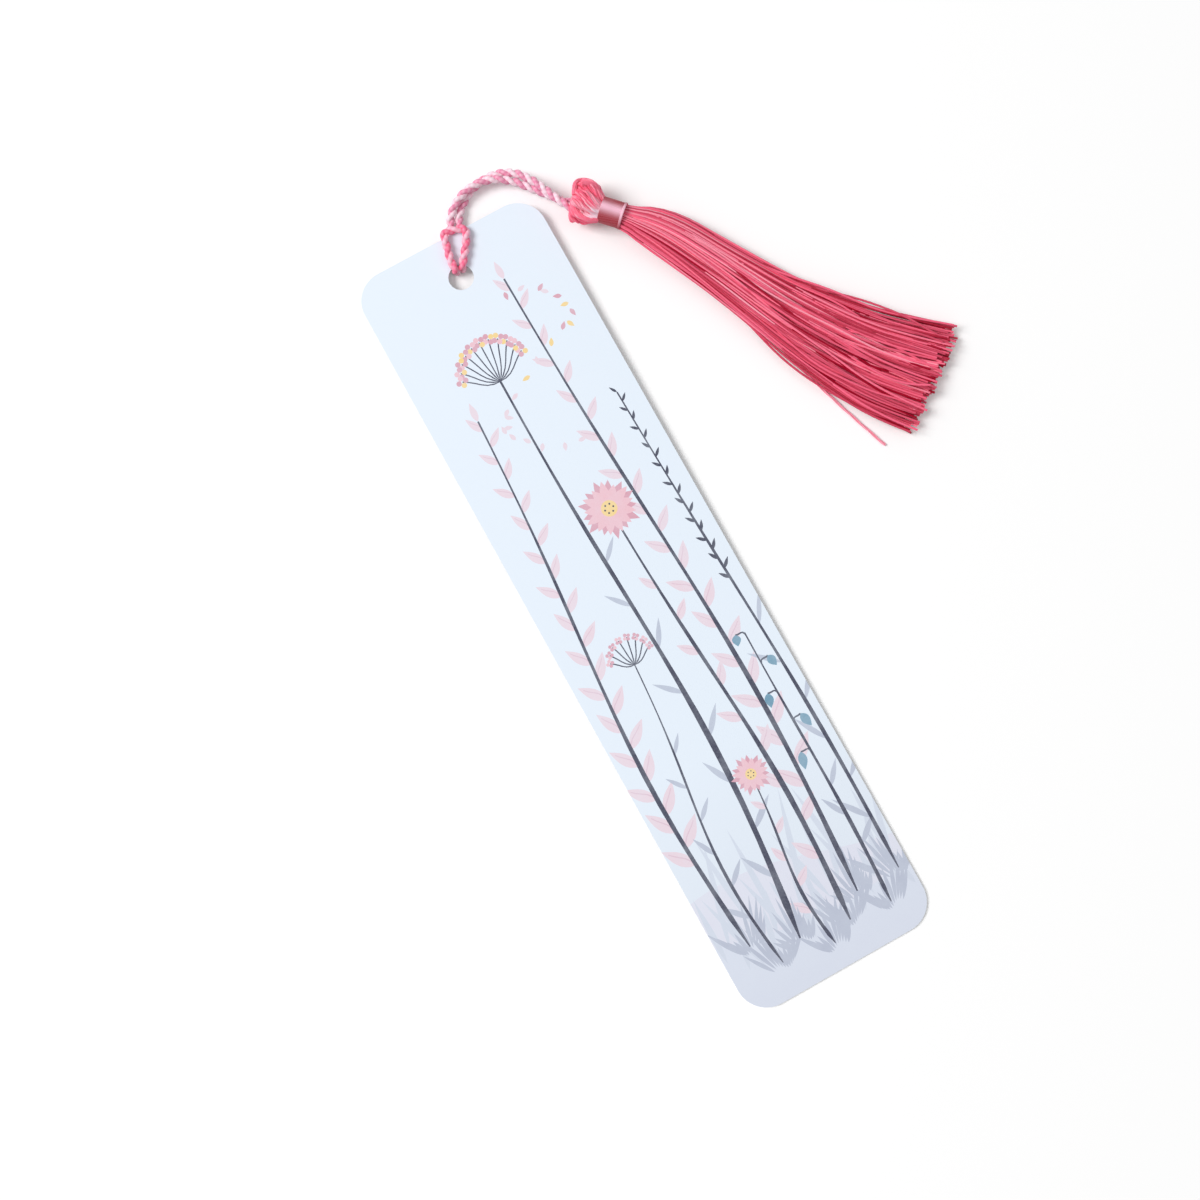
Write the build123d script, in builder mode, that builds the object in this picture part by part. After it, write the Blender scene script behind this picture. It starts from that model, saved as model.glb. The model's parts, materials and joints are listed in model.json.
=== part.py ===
"""Bookmark: a laminated card with a punched hole, and a tassel on a cord hitched through the hole.

Millimetres. The card lies face up on a table at z = 0 with its lower edge on the table and its top end
held up by the cord behind it. +Y runs up the card to the hole, +X to its right, and the origin is on
the table under the middle of the card.
"""

import math
import os

from build123d import *

os.makedirs("parts", exist_ok=True)

# Card: a printed board between two clear films
card_length = 160
card_width = 40
corner_radius = 6
board_thickness = 0.4
film_thickness = 0.05
hole_diameter = 5
hole_inset = 8.5

# Cord: one twisted strand, doubled, hitched through the hole and laid beside the card
strand_diameter = 1.4
strand_gap = 0.1
rest_gap = 0.1
arc_share = 0.45

# The hitch, from the hole's centre: right, up the card, and share of the strand's height over the card
hitch_route = [
    (3.1, 9.8, -1),
    (-0.45, 1.35, -1),
    (-0.45, 1.35, 1),
    (1.25, 8.6, 1),
    (2.3, 9.75, 1),
    (4.2, 9.55, 1),
    (5.05, 8.4, 1),
    (1.05, 1.2, 1),
    (1.05, 1.2, -1),
    (4.5, 9.3, -1),
]

# The doubled cord, from the hole's centre: right, up the card, and share of its rise to the tassel
hanging_route = [
    (4.4, 11.1, 0),
    (7.2, 13.8, 0),
    (11.1, 15.2, 0.03),
    (15.3, 14.8, 0.12),
    (18.9, 12.7, 0.32),
    (22.0, 8.5, 0.64),
    (24.6, 4.0, 1),
]

# Tassel head: the fold of the threads over the knot that ends the cord
head_diameter = 8.4
head_length = 6.7
head_bulge_share = 0.48
knot_diameter = 4
knot_place_share = 0.48
knot_stub_diameter = 2.4
knot_gap = 0.05
swing_gap = 0.1
tassel_heading = -47

# Neck: the thread bundle under a wound binding, of plain inner layers and an outer layer of turns
bundle_diameter = 4
bundle_gap = 0.02
binding_length = 4.5
binding_wall = 0.2
winding_diameter = 0.4
winding_gap = 0.45
winding_seat = 0.02
arcs_per_turn = 4
winding_samples = 24

# Skirt: locks of loose threads that leave the binding, fan out and lie down on the table
skirt_length = 68
skirt_width = 23
skirt_height = 3.2
lock_rings = 2
lock_sides = 6
lock_fill_share = 0.94
ragged_share = 0.05
ragged_steps = 5
ragged_skip = 3
station_shares = (0.13, 0.30, 0.60, 0.88, 1)
span_headings = (-48, -62, -63, -56, -46)
width_shares = (0.44, 0.49, 0.70, 0.92, 1)
height_shares = (1.3, 1.3, 1.2, 1.06, 1)
lie_shares = (0.35, 0.9, 1, 1, 1)

# Sizes that follow
card_thickness = board_thickness + 2 * film_thickness
hole_place = card_length / 2 - hole_inset
strand_radius = strand_diameter / 2
strand_height = card_thickness / 2 + strand_gap + strand_radius
cord_radius = strand_diameter
head_radius = head_diameter / 2
bundle_radius = bundle_diameter / 2
card_lift = strand_diameter + strand_gap
card_tilt = math.asin(card_lift / (card_length / 2 + hole_place))
card_middle = card_length / 2 * math.sin(card_tilt) + card_thickness / 2 * math.cos(card_tilt)
card_plane = Plane(
    origin=(0, 0, card_middle),
    x_dir=(1, 0, 0),
    z_dir=(0, -math.sin(card_tilt), math.cos(card_tilt)),
)
hole_centre = card_plane.from_local_coords(Vector(0, hole_place, 0))


def corner_radii(points):
    """Return the radius of each corner of a route, as large as the two runs beside it allow."""
    radii = []
    for before, corner, after in zip(points, points[1:], points[2:]):
        turn = (corner - before).get_angle(after - corner)
        shorter = min((corner - before).length, (after - corner).length)
        radii.append(arc_share * shorter / math.tan(math.radians(turn / 2)))
    return radii


def report_tube(label, tube, route, radius):
    """Print how a swept tube's volume compares with its section times its length."""
    length = route.wire().length
    print(f"{label}: length {length:.1f}, volume share {tube.volume / (math.pi * radius**2 * length):.4f}")


# Card layers, from the back film to the front film
card_layers = [("back_film", film_thickness), ("card_core", board_thickness), ("front_film", film_thickness)]
layer_bottom = -card_thickness / 2
for layer_name, layer_thickness in card_layers:
    with BuildPart() as card_layer:
        with BuildSketch(card_plane.offset(layer_bottom)):
            RectangleRounded(card_width, card_length, corner_radius)
            with Locations((0, hole_place)):
                Circle(hole_diameter / 2, mode=Mode.SUBTRACT)
        extrude(amount=layer_thickness)
    card_layer.part.label = layer_name
    export_step(card_layer.part, f"parts/{layer_name}.step")
    layer_bottom += layer_thickness

# Hitch: the strand comes along the back, through the hole, round the loop on the front and back again
hitch_points = [
    card_plane.from_local_coords(Vector(right, hole_place + up, level * strand_height))
    for right, up, level in hitch_route
]
hitch_radii = corner_radii(hitch_points)
with BuildPart() as hitch_loop:
    with BuildLine() as hitch_path:
        FilletPolyline(hitch_points, radius=hitch_radii)
    with BuildSketch(Plane(origin=hitch_path.line @ 0, z_dir=hitch_path.line % 0)):
        Circle(strand_radius)
    sweep(path=hitch_path.line)
hitch_loop.part.label = "hitch_loop"
export_step(hitch_loop.part, "parts/hitch_loop.step")
print("hitch radii", [round(radius, 2) for radius in hitch_radii])
report_tube("hitch_loop", hitch_loop.part, hitch_path, strand_radius)

# Hanging cord: both strands together, rounded at the two ends that it turns about
lying_height = cord_radius + rest_gap
head_height = head_radius + rest_gap
hanging_points = [
    Vector(hole_centre.X + right, hole_centre.Y + up, lying_height + rise * (head_height - lying_height))
    for right, up, rise in hanging_route
]
hanging_radii = corner_radii(hanging_points)
with BuildPart() as hanging_cord:
    with BuildLine() as hanging_path:
        FilletPolyline(hanging_points, radius=hanging_radii)
    with BuildSketch(Plane(origin=hanging_path.line @ 0, z_dir=hanging_path.line % 0)):
        Circle(cord_radius)
    sweep(path=hanging_path.line)
    report_tube("hanging_cord", hanging_cord.part, hanging_path, cord_radius)
    with Locations(hanging_points[0], hanging_points[-1]):
        Sphere(cord_radius)
hanging_cord.part.label = "hanging_cord"
export_step(hanging_cord.part, "parts/hanging_cord.step")
print("hanging radii", [round(radius, 2) for radius in hanging_radii])

# Tassel frame: Z along the tassel from the end of the cord, X to its side, Y up
up_direction = Vector(0, 0, 1)
tassel_direction = Vector(1, 0, 0).rotate(Axis.Z, tassel_heading)
tassel_side = up_direction.cross(tassel_direction)
tassel_plane = Plane(origin=hanging_points[-1], x_dir=tassel_side, z_dir=tassel_direction)
profile_plane = Plane(
    origin=hanging_points[-1],
    x_dir=tassel_side,
    z_dir=tassel_side.cross(tassel_direction),
)
head_start = cord_radius + swing_gap
head_end = head_start + head_length
knot_place = head_start + knot_place_share * head_length
binding_end = head_end + binding_length

# End knot: the two ends of the strand, knotted and drawn into the head
with BuildPart(tassel_plane) as end_knot:
    with Locations((0, 0, knot_place)):
        Sphere(knot_diameter / 2)
    with Locations((0, 0, head_start)):
        Cylinder(
            knot_stub_diameter / 2,
            knot_place - head_start,
            align=(Align.CENTER, Align.CENTER, Align.MIN),
        )
end_knot.part.label = "end_knot"
export_step(end_knot.part, "parts/end_knot.step")

# Tassel head: a knob with a pocket for the knot and a mouth for the cord
mouth_radius = knot_stub_diameter / 2 + knot_gap
with BuildPart(tassel_plane) as tassel_head:
    with BuildSketch(profile_plane):
        with BuildLine():
            ThreePointArc(
                (mouth_radius, head_start),
                (head_radius, head_start + head_bulge_share * head_length),
                (bundle_radius, head_end),
            )
            Polyline(
                (bundle_radius, head_end),
                (0, head_end),
                (0, head_start),
                (mouth_radius, head_start),
            )
        make_face()
    revolve(axis=Axis(hanging_points[-1], tassel_direction))
    with Locations((0, 0, knot_place)):
        Sphere(knot_diameter / 2 + knot_gap, mode=Mode.SUBTRACT)
    with Locations((0, 0, head_start)):
        Cylinder(
            mouth_radius,
            knot_place - head_start,
            align=(Align.CENTER, Align.CENTER, Align.MIN),
            mode=Mode.SUBTRACT,
        )
tassel_head.part.label = "tassel_head"
export_step(tassel_head.part, "parts/tassel_head.step")

# Binding core: the inner layers of the winding, as a plain sleeve round the bundle
sleeve_bore = bundle_radius + bundle_gap
sleeve_radius = sleeve_bore + binding_wall
with BuildPart() as binding_core:
    with BuildSketch(tassel_plane.offset(head_end)):
        Circle(sleeve_radius)
        Circle(sleeve_bore, mode=Mode.SUBTRACT)
    extrude(amount=binding_length)
binding_core.part.label = "binding_core"
export_step(binding_core.part, "parts/binding_core.step")

# Binding thread: the outer layer, one thread wound in even turns along the sleeve
winding_pitch = winding_diameter + winding_gap
winding_turns = math.floor((binding_length - winding_diameter) / winding_pitch)
winding_radius = sleeve_radius + winding_seat + winding_diameter / 2
winding_start = head_end + (binding_length - winding_turns * winding_pitch) / 2


def winding_point(turns):
    """Return the place and the direction of the thread after so many turns."""
    angle = math.tau * turns
    place = Vector(
        winding_radius * math.cos(angle),
        winding_radius * math.sin(angle),
        winding_start + winding_pitch * turns,
    )
    direction = Vector(
        -math.tau * winding_radius * math.sin(angle),
        math.tau * winding_radius * math.cos(angle),
        winding_pitch,
    )
    base = tassel_plane.from_local_coords(Vector(0, 0, 0))
    return tassel_plane.from_local_coords(place), (tassel_plane.from_local_coords(direction) - base).normalized()


def biarc_middle(start, leaving, end, arriving):
    """Return the point where two arcs from start to end meet, and their direction there."""
    chord = end - start
    square = 2 * (1 - leaving.dot(arriving))
    middle = chord.dot(leaving + arriving)
    reach = (math.sqrt(middle**2 + square * chord.dot(chord)) - middle) / square
    first = start + leaving * reach
    second = end - arriving * reach
    return (first + second) / 2, (second - first).normalized()


with BuildPart() as binding_thread:
    with BuildLine() as winding_path:
        place, direction = winding_point(0)
        Line(place - direction * winding_diameter, place)
        for step in range(winding_turns * arcs_per_turn):
            next_place, next_direction = winding_point((step + 1) / arcs_per_turn)
            meeting, meeting_direction = biarc_middle(place, direction, next_place, next_direction)
            TangentArc(place, meeting, tangent=direction)
            TangentArc(meeting, next_place, tangent=meeting_direction)
            place, direction = next_place, next_direction
        Line(place, place + direction * winding_diameter)
    with BuildSketch(Plane(origin=winding_path.line @ 0, z_dir=winding_path.line % 0)):
        Circle(winding_diameter / 2)
    sweep(path=winding_path.line)
binding_thread.part.label = "binding_thread"
export_step(binding_thread.part, "parts/binding_thread.step")
report_tube("binding_thread", binding_thread.part, winding_path, winding_diameter / 2)
wound_points = [
    winding_point(index / winding_samples)[0] for index in range(winding_turns * winding_samples + 1)
]
least_gap = min(
    (far - near).length - winding_diameter
    for index, near in enumerate(wound_points)
    for far in wound_points[index + winding_samples // 2:]
)
print(f"binding_thread: {winding_turns} turns, least gap to itself {least_gap:.2f}")

# Skirt stations: a place, a side vector and a rising vector for each cross-section of the fan
neck_start = tassel_plane.from_local_coords(Vector(0, 0, head_end))
neck_end = tassel_plane.from_local_coords(Vector(0, 0, binding_end))
stations = [
    (neck_start, tassel_side * bundle_radius, up_direction * bundle_radius),
    (neck_end, tassel_side * bundle_radius, up_direction * bundle_radius),
]
place = neck_end
share_before = 0
for index, share in enumerate(station_shares):
    heading = span_headings[index]
    next_heading = span_headings[min(index + 1, len(span_headings) - 1)]
    run = (share - share_before) * skirt_length
    flat_place = place + Vector(1, 0, 0).rotate(Axis.Z, heading) * run
    half_width = width_shares[index] * skirt_width / 2
    half_height = height_shares[index] * skirt_height / 2
    height = neck_end.Z + lie_shares[index] * (half_height + rest_gap - neck_end.Z)
    side = Vector(0, 1, 0).rotate(Axis.Z, (heading + next_heading) / 2)
    place = Vector(flat_place.X, flat_place.Y, height)
    stations.append((place, side * half_width, up_direction * half_height))
    share_before = share

# Locks: a honeycomb of bundles, each swept through the stations and cut at its own length
lock_pitch_share = 1 / (lock_rings + 1 / math.sqrt(3))
lock_reach_share = lock_fill_share * lock_pitch_share / math.sqrt(3)
lock_places = []
for row in range(-lock_rings, lock_rings + 1):
    row_count = 2 * lock_rings + 1 - abs(row)
    for column in range(row_count):
        across_share = (column - (row_count - 1) / 2) * lock_pitch_share
        lock_places.append((across_share, row * lock_pitch_share * math.sqrt(3) / 2))

for number, (across_share, rise_share) in enumerate(lock_places, start=1):
    shortfall = ragged_share * (number * ragged_skip % ragged_steps) / (ragged_steps - 1)
    cut = 1 - shortfall / (station_shares[-1] - station_shares[-2])
    cut_section = tuple(
        before + (after - before) * cut for before, after in zip(stations[-2], stations[-1])
    )
    with BuildPart() as lock:
        for centre, side, rise in stations[:-1] + [cut_section]:
            corners = []
            for index in range(lock_sides):
                angle = math.tau * (index + 1 / 2) / lock_sides
                across = across_share + lock_reach_share * math.cos(angle)
                upward = rise_share + lock_reach_share * math.sin(angle)
                corners.append((across * side.length, upward * rise.length))
            with BuildSketch(Plane(origin=centre, x_dir=side, z_dir=side.cross(rise))):
                Polygon(*corners, align=None)
        loft(ruled=True)
    lock.part.label = f"skirt_lock_{number:02d}"
    export_step(lock.part, f"parts/{lock.part.label}.step")
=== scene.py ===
"""Looks of a card bookmark with a tassel: printed board, films, hitched cord, tassel and a pale floor.

Metres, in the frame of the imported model: +Y up the card to its hole, +Z up from the table.
"""

import json
import math

import bmesh
import bpy
from mathutils import Color, Matrix, Vector
from mathutils.geometry import delaunay_2d_cdt


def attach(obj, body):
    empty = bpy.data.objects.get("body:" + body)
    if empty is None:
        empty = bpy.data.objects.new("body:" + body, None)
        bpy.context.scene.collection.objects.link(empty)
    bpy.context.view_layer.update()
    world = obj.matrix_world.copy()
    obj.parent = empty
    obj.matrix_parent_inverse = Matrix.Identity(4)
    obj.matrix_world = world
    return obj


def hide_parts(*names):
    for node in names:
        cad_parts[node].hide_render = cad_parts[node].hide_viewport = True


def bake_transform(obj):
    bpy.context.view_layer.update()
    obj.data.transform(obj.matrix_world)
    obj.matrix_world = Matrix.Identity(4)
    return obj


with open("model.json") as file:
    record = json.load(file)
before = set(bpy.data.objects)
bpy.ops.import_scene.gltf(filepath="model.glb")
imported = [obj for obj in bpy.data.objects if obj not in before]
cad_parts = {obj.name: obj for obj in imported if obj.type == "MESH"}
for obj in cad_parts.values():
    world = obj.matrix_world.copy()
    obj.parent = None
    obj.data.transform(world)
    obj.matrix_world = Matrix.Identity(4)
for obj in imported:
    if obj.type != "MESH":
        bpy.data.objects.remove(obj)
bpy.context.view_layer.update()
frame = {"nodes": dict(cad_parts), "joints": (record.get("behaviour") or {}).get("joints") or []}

# Board: stiff white card, printed on one face and die-cut with round corners and one punched hole.
# The films cover its faces, so only the cut edge shows, where the fibres are rough and a little grey.
board_light = (238, 239, 240)
board_dark = (206, 208, 213)
board_grain_scale = 9000
board_grain_depth = 0.00004
board_grain_strength = 0.35


def screen(red, green, blue):
    """Return a colour written in screen values, 0 to 255, as the linear colour that a shader takes."""
    tint = Color((red / 255, green / 255, blue / 255)).from_srgb_to_scene_linear()
    return (*tint, 1)


def feed(tree, node, inputs):
    """Set or link a node's inputs by name or number, and return the node."""
    for key, value in inputs.items():
        value = getattr(value, "socket", value)
        if isinstance(value, bpy.types.NodeSocket):
            tree.links.new(value, node.inputs[key])
        else:
            node.inputs[key].default_value = value
    return node


def add(tree, kind, inputs=None, **settings):
    """Return a new node of a tree, with its own settings and its inputs in place."""
    made = tree.nodes.new(kind)
    for key, value in settings.items():
        setattr(made, key, value)
    return feed(tree, made, inputs or {})


def blend_colours(tree, share, first, second):
    """Return the colour that lies a share of the way from the first colour to the second."""
    inputs = {0: share, 6: first, 7: second}
    return add(tree, "ShaderNodeMix", inputs, data_type="RGBA").outputs[2]


def roughened(tree, height, strength, depth):
    """Return the normal of a surface that a pattern of some depth roughens."""
    inputs = {"Height": height, "Strength": strength, "Distance": depth}
    return add(tree, "ShaderNodeBump", inputs).outputs["Normal"]


def object_place(tree):
    """Return the place of a point in the piece's own coordinates."""
    return add(tree, "ShaderNodeTexCoord").outputs["Object"]


def new_finish(name):
    """Return a new material, its tree and its shader."""
    material = bpy.data.materials.new(name)
    material.use_nodes = True
    return material, material.node_tree, material.node_tree.nodes["Principled BSDF"]


def coat(node_name, finish):
    """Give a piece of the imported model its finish."""
    materials = frame["nodes"][node_name].data.materials
    materials.clear()
    materials.append(finish)


def shader_group(name, inputs, outputs):
    """Return a group that materials share, with numbers that go in and come out, and those that go in."""
    group = bpy.data.node_groups.new(name, "ShaderNodeTree")
    for titles, way in ((inputs, "INPUT"), (outputs, "OUTPUT")):
        for title in titles:
            group.interface.new_socket(title, in_out=way, socket_type="NodeSocketFloat")
    return group, group.nodes.new("NodeGroupInput").outputs


paper_grain, grain_in = shader_group("paper_grain", ["Scale"], ["Mask"])
grain_noise = add(
    paper_grain,
    "ShaderNodeTexNoise",
    {"Vector": object_place(paper_grain), "Scale": grain_in["Scale"], "Detail": 5, "Roughness": 0.62},
)
add(paper_grain, "NodeGroupOutput", {"Mask": grain_noise.outputs[0]})


def grain_mask(tree, scale):
    """Place the paper grain in a material and return its mask."""
    return add(tree, "ShaderNodeGroup", {"Scale": scale}, node_tree=paper_grain).outputs["Mask"]


board_finish, board_tree, board_shader = new_finish("cut_board_edge")
board_mask = grain_mask(board_tree, board_grain_scale)
feed(
    board_tree,
    board_shader,
    {
        "Base Color": blend_colours(board_tree, board_mask, screen(*board_dark), screen(*board_light)),
        "Normal": roughened(board_tree, board_mask, board_grain_strength, board_grain_depth),
        "Roughness": 0.8,
    },
)
coat("card_core", board_finish)

# Back film: clear laminate, heat-sealed over the plain white back of the board.
# It is satin, with the faint orange peel of the roller that pressed it.
back_light = (240, 242, 246)
back_dark = (232, 235, 241)
back_cloud_scale = 60
film_peel_scale = 900
film_peel_depth = 0.00005
film_peel_strength = 0.06
film_roughness = (0.30, 0.42)


def stretched(tree, value, given, wanted):
    """Return a number, stretched from the range that it is given in to the range that is wanted."""
    inputs = {"Value": value, "From Min": given[0], "From Max": given[1]}
    inputs |= {"To Min": wanted[0], "To Max": wanted[1]}
    return add(tree, "ShaderNodeMapRange", inputs).outputs["Result"]


def satin_film(tree, shader, colour):
    """Give a shader a colour under the satin gloss and faint unevenness of pressed laminate."""
    peel = grain_mask(tree, film_peel_scale)
    feed(
        tree,
        shader,
        {
            "Base Color": colour,
            "Roughness": stretched(tree, peel, (0, 1), film_roughness),
            "Normal": roughened(tree, peel, film_peel_strength, film_peel_depth),
            "Specular IOR Level": 0.35,
        },
    )


back_finish, back_tree, back_shader = new_finish("laminated_back")
back_cloud = grain_mask(back_tree, back_cloud_scale)
back_colour = blend_colours(back_tree, back_cloud, screen(*back_dark), screen(*back_light))
satin_film(back_tree, back_shader, back_colour)
coat("back_film", back_finish)

# Printed front: the picture on the board, seen through the front film that is pressed over it.
# A pale blue ground with a meadow of slender inked stems, blush leaves and small bright flowers.
card_length = 0.160
card_width = 0.040
card_thickness = 0.0005
film_thickness = 0.00005
corner_radius = 0.006
corner_steps = 14
hole_diameter = 0.005
hole_inset = 0.0085
hole_steps = 64
half_width = card_width / 2
half_length = card_length / 2
joint_named = {joint["name"]: joint for joint in frame["joints"]}
hole_centre = Vector(joint_named["hitch_sweep"]["pos_m"])
card_normal = Vector(joint_named["hitch_sweep"]["axis"]).normalized()
card_right = Vector((1, 0, 0))
card_up = card_normal.cross(card_right)


def on_card(right, up, height):
    """Return the place of a point given from the card's middle: to the right, up the card and off it."""
    up_from_hole = up - (half_length - hole_inset)
    return hole_centre + card_right * right + card_up * up_from_hole + card_normal * height


# Inks: a colour in screen values, and how much of the ground it covers
inks = {
    "slate": ((58, 60, 82), 0.97),
    "dusk": ((150, 156, 182), 0.55),
    "haze": ((176, 182, 206), 0.30),
    "blush": ((238, 205, 216), 0.66),
    "vein": ((222, 170, 188), 0.62),
    "rose": ((218, 150, 168), 0.84),
    "petal": ((240, 192, 203), 0.90),
    "sun": ((248, 214, 138), 0.92),
    "teal": ((84, 142, 170), 0.85),
    "wash": ((204, 206, 228), 0.28),
    "mist": ((224, 216, 233), 0.40),
}
ink_shapes = []
leaf_belly = 0.8
sway_share = 0.4


def polar(heading, reach):
    """Return a step of some reach along a heading in degrees."""
    return Vector((math.cos(math.radians(heading)), math.sin(math.radians(heading)))) * reach


def left_of(along):
    """Return the direction to the left of another."""
    return Vector((-along.y, along.x))


def arc_points(centre, radius, first, last, steps):
    """Return points on an arc, with angles in degrees."""
    return [centre + polar(first + (last - first) * step / steps, radius) for step in range(steps + 1)]


def draw(ink, outline):
    """Lay one shape of ink over what is printed so far."""
    ink_shapes.append((ink, outline))


def draw_dot(ink, centre, radius, steps):
    """Print a round dot."""
    draw(ink, arc_points(centre, radius, 0, 360 - 360 / steps, steps - 1))


def draw_leaf(ink, base, heading, length, width, steps=8):
    """Print a pointed leaf or petal that grows from its base along a heading in degrees."""
    along = polar(heading, 1)
    across = left_of(along)
    left = []
    right = []
    for step in range(1, steps):
        share = step / steps
        place = base + along * length * share
        swell = across * width / 2 * math.sin(math.pi * share**leaf_belly)
        left.append(place + swell)
        right.append(place - swell)
    draw(ink, [base] + right + [base + along * length] + left[::-1])


def bowed(start, end, bow, share):
    """Return a point of a line from start to end that bows and sways, and its heading in degrees."""
    chord = end - start
    across = left_of(chord).normalized()
    sway = math.sin(math.pi * share) + sway_share * math.sin(math.tau * share)
    turn = math.pi * math.cos(math.pi * share) + sway_share * math.tau * math.cos(math.tau * share)
    slope = chord + across * bow * turn
    return start + chord * share + across * bow * sway, math.degrees(math.atan2(slope.y, slope.x))


def draw_stem(ink, line, base_width, tip_width, steps=18):
    """Print a tapering, slightly uneven brush line, given by its start, end and bow."""
    left = []
    right = []
    for step in range(steps + 1):
        share = step / steps
        place, heading = bowed(*line, share)
        uneven = 1 + 0.16 * math.sin(5.3 * step + 40 * base_width / card_width)
        reach = (base_width + (tip_width - base_width) * share) * uneven / 2 * min(1, 0.2 + 15 * share)
        across = left_of(polar(heading, 1))
        left.append(place + across * reach)
        right.append(place - across * reach)
    draw(ink, right + left[::-1])


def draw_daisy(centre, radius, petals):
    """Print a flower of two rings of narrow petals round a dotted eye."""
    for petal in range(2 * petals):
        turn = 360 * (petal + petal // petals / 2) / petals + 9
        ink, size = ("rose", 1) if petal < petals else ("petal", 0.86)
        length = radius * size * (0.76 + 0.08 * math.sin(3 * petal))
        draw_leaf(ink, centre + polar(turn, radius * 0.2), turn, length, radius * 0.30)
    draw_dot("sun", centre, radius * 0.27, 16)
    for speck in range(6):
        draw_dot("slate", centre + polar(60 * speck, radius * 0.15), radius * 0.035, 6)


def draw_umbel(top, heading, reach, rays, dot_inks):
    """Print a flat fan of thin rays that end in clusters of dots."""
    for ray in range(rays):
        side = 2 * ray / (rays - 1) - 1
        turn = heading + 62 * side
        span = reach * (1 - 0.16 * side * side)
        tip = top + polar(turn, span)
        draw_stem("slate", (top, tip, span * 0.08 * side), card_width * 0.008, card_width * 0.005, 6)
        for dot in range(4):
            place = tip + polar(turn + 90 * dot + 30, reach * 0.085)
            draw_dot(dot_inks[(ray + dot) % len(dot_inks)], place, reach * 0.062, 10)


def draw_leaves(line, first, last, count, ink, length_share, width_share):
    """Print leaves by turns on the two sides of a stem, smaller towards its tip."""
    for leaf in range(count):
        share = first + (last - first) * leaf / (count - 1)
        place, heading = bowed(*line, share)
        side = 1 if leaf % 2 else -1
        size = 1 - 0.45 * share
        length = length_share * card_width
        width = width_share * card_width
        turn = heading - side * (38 + 9 * math.sin(2.1 * leaf))
        draw_leaf(ink, place, turn, length * size, width * size)
        if ink == "blush":
            rib = (place, place + polar(turn, length * size * 0.8), 0.05 * length * side)
            draw_stem("vein", rib, width * size * 0.16, width * size * 0.06, 5)


def spot(across_share, up_share):
    """Return a place on the card, as shares of its half width and half length from its middle."""
    return Vector((across_share * half_width, up_share * half_length))


# Low ground: two washes that fall away to the card's lower edge
crest_steps = 24
for ground_ink, crest_share, swell_share, turn in (("mist", -0.74, 0.05, 0.9), ("wash", -0.83, 0.04, 2.6)):
    crest = []
    for step in range(crest_steps + 1):
        swell = swell_share * math.sin(turn + 3.4 * step / crest_steps)
        crest.append(spot(2.2 * step / crest_steps - 1.1, crest_share + swell))
    draw(ground_ink, [spot(1.1, -1.1)] + crest[::-1] + [spot(-1.1, -1.1)])

# Far grass: pale blades behind the stems
for blade in range(26):
    root = spot(-0.96 + 1.92 * blade / 25, -0.86 + 0.05 * math.sin(2.7 * blade))
    lean = 90 + 16 * math.sin(5.1 * blade)
    draw_leaf("haze", root, lean, card_width * (0.34 + 0.20 * math.sin(1.7 * blade)), card_width * 0.030)

# Meadow stems: kind, root, tip, sideways bow as a share of the card's width, and width as a share of it
stem_values = [
    ("sprig", spot(-0.70, -0.85), spot(-0.54, 0.56), 0.06, 0.026),
    ("small umbel", spot(-0.50, -0.92), spot(-0.36, -0.14), 0.05, 0.018),
    ("umbel", spot(-0.25, -0.89), spot(-0.16, 0.62), -0.06, 0.034),
    ("small daisy", spot(0.02, -0.94), spot(0.10, -0.50), 0.03, 0.020),
    ("sprig", spot(0.44, -0.86), spot(0.36, 0.84), -0.05, 0.028),
    ("daisy", spot(0.25, -0.91), spot(0.16, 0.22), -0.04, 0.030),
    ("bells", spot(0.67, -0.92), spot(0.71, -0.20), -0.01, 0.022),
    ("ear", spot(0.89, -0.86), spot(0.78, 0.46), -0.02, 0.022),
]
stems = [
    (kind, (root, tip, bow_share * card_width), width_share * card_width)
    for kind, root, tip, bow_share, width_share in stem_values
]

# Leaves of each kind: where they start and end on the stem, count, ink, and size in card widths
leaf_values = {
    "sprig": (0.16, 0.98, 27, "blush", 0.19, 0.066),
    "umbel": (0.10, 0.66, 8, "dusk", 0.20, 0.034),
    "small umbel": (0.16, 0.70, 6, "dusk", 0.16, 0.030),
    "daisy": (0.14, 0.80, 9, "blush", 0.17, 0.062),
    "small daisy": (0.20, 0.80, 5, "blush", 0.13, 0.050),
    "ear": (0.10, 0.50, 6, "dusk", 0.22, 0.030),
    "bells": (0.10, 0.42, 4, "dusk", 0.17, 0.032),
}
for kind, line, width in stems:
    draw_leaves(line, *leaf_values[kind])

# Loose petals in the air above the stems
for petal in range(22):
    place = spot(0.22 + 0.58 * math.sin(2.4 * petal), 0.40 + 0.42 * ((petal * 0.618) % 1))
    petal_ink = ("blush", "rose", "blush", "blush", "sun")[petal % 5]
    draw_leaf(petal_ink, place, 47 * petal, card_width * 0.045, card_width * 0.022, 6)

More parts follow.
